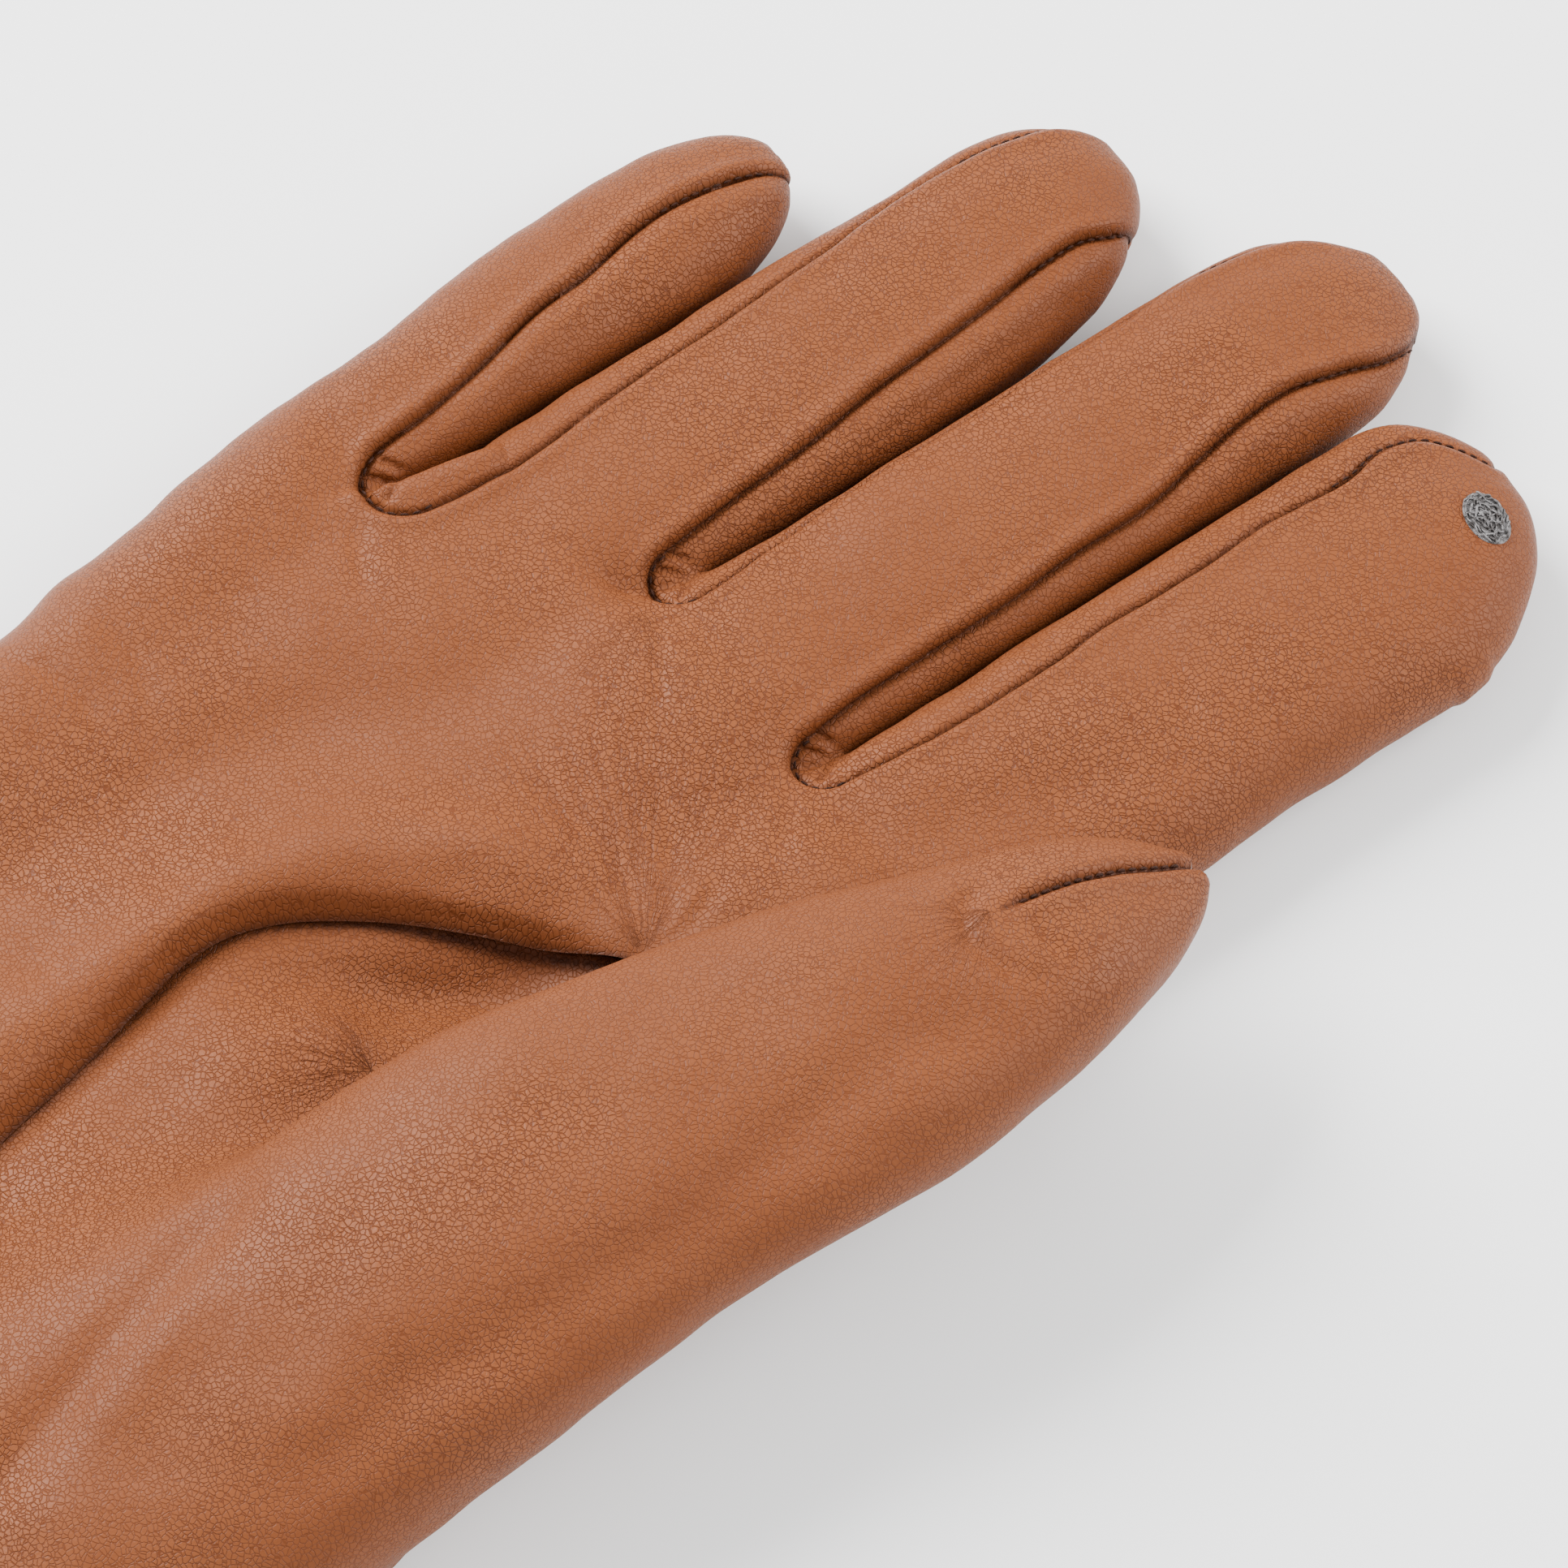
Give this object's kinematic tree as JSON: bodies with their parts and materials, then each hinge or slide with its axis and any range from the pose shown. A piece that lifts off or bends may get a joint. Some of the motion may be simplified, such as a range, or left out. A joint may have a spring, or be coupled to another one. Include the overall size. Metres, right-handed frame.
{
  "type": "touchscreen gloves",
  "caption": "Right-hand lined leather dress glove lying palm up, thumb folded over the palm, with an embroidered touch patch on the index fingertip.",
  "frame": {"origin": "on the resting surface, under the middle of the bounding box", "axes": "+X towards the thumb side, +Y towards the fingertips, +Z out of the palm"},
  "size_m": [0.1231, 0.247, 0.0323],
  "materials": {
    "leather": "semi-matte nappa with fine pebble grain",
    "lining": "brushed knit",
    "touch_thread": "satin embroidery thread"
  },
  "bodies": {
    "hand": {"palm_panel": "leather", "back_panel": "leather", "fork_little_ring": "leather", "fork_ring_middle": "leather", "fork_middle_index": "leather", "thumb_foot": "leather", "thumb_heel": "leather", "thumb_foot_lining": "lining", "cuff_hem": "leather", "hand_lining": "lining"},
    "little_lower": {"little_palm_lower": "leather", "little_back_lower": "leather", "little_side_inner_lower": "leather", "little_lining_lower": "lining"},
    "little_upper": {"little_palm_upper": "leather", "little_back_upper": "leather", "little_side_inner_upper": "leather", "little_lining_upper": "lining"},
    "ring_lower": {"ring_palm_lower": "leather", "ring_back_lower": "leather", "ring_side_ulnar_lower": "leather", "ring_side_radial_lower": "leather", "ring_lining_lower": "lining"},
    "ring_upper": {"ring_palm_upper": "leather", "ring_back_upper": "leather", "ring_side_ulnar_upper": "leather", "ring_side_radial_upper": "leather", "ring_lining_upper": "lining"},
    "middle_lower": {"middle_palm_lower": "leather", "middle_back_lower": "leather", "middle_side_ulnar_lower": "leather", "middle_side_radial_lower": "leather", "middle_lining_lower": "lining"},
    "middle_upper": {"middle_palm_upper": "leather", "middle_back_upper": "leather", "middle_side_ulnar_upper": "leather", "middle_side_radial_upper": "leather", "middle_lining_upper": "lining"},
    "index_lower": {"index_palm_lower": "leather", "index_back_lower": "leather", "index_side_inner_lower": "leather", "index_lining_lower": "lining"},
    "index_upper": {"index_palm_upper": "leather", "index_back_upper": "leather", "index_side_inner_upper": "leather", "index_lining_upper": "lining", "touch_pad": "touch_thread", "touch_contact": "touch_thread"},
    "thumb_lower": {"thumb_front_lower": "leather", "thumb_rear_lower": "leather", "thumb_lining_lower": "lining"},
    "thumb_upper": {"thumb_front_upper": "leather", "thumb_rear_upper": "leather", "thumb_lining_upper": "lining"}
  },
  "joints": [
    {"name": "little_knuckle", "type": "hinge", "parent": "hand", "child": "little_lower", "pos_m": [-0.0502, 0.0265, 0.0145], "axis": [0.9962, 0.0872, 0], "range_deg": [0, 85]},
    {"name": "little_middle", "type": "hinge", "parent": "little_lower", "child": "little_upper", "pos_m": [-0.05199, 0.04692, 0.0145], "axis": [0.9962, 0.0872, 0], "range_deg": [0, 90]},
    {"name": "ring_knuckle", "type": "hinge", "parent": "hand", "child": "ring_lower", "pos_m": [-0.0287, 0.048, 0.0145], "axis": [1, 0, 0], "range_deg": [0, 85]},
    {"name": "ring_middle", "type": "hinge", "parent": "ring_lower", "child": "ring_upper", "pos_m": [-0.0287, 0.0735, 0.0145], "axis": [1, 0, 0], "range_deg": [0, 90]},
    {"name": "middle_knuckle", "type": "hinge", "parent": "hand", "child": "middle_lower", "pos_m": [-0.00315, 0.048, 0.0145], "axis": [1, 0, 0], "range_deg": [0, 85]},
    {"name": "middle_middle", "type": "hinge", "parent": "middle_lower", "child": "middle_upper", "pos_m": [-0.00315, 0.0795, 0.0145], "axis": [1, 0, 0], "range_deg": [0, 90]},
    {"name": "index_knuckle", "type": "hinge", "parent": "hand", "child": "index_lower", "pos_m": [0.02465, 0.0525, 0.0145], "axis": [1, 0, 0], "range_deg": [0, 85]},
    {"name": "index_middle", "type": "hinge", "parent": "index_lower", "child": "index_upper", "pos_m": [0.02465, 0.0795, 0.0145], "axis": [1, 0, 0], "range_deg": [0, 90]},
    {"name": "thumb_root", "type": "hinge", "parent": "hand", "child": "thumb_lower", "pos_m": [0.023, 0.008, 0.0237], "axis": [0, 0, -1], "range_deg": [0, 28]},
    {"name": "thumb_middle", "type": "hinge", "parent": "thumb_lower", "child": "thumb_upper", "pos_m": [0.0302, 0.034, 0.0237], "axis": [0, 0, 1], "range_deg": [0, 60]}
  ]
}
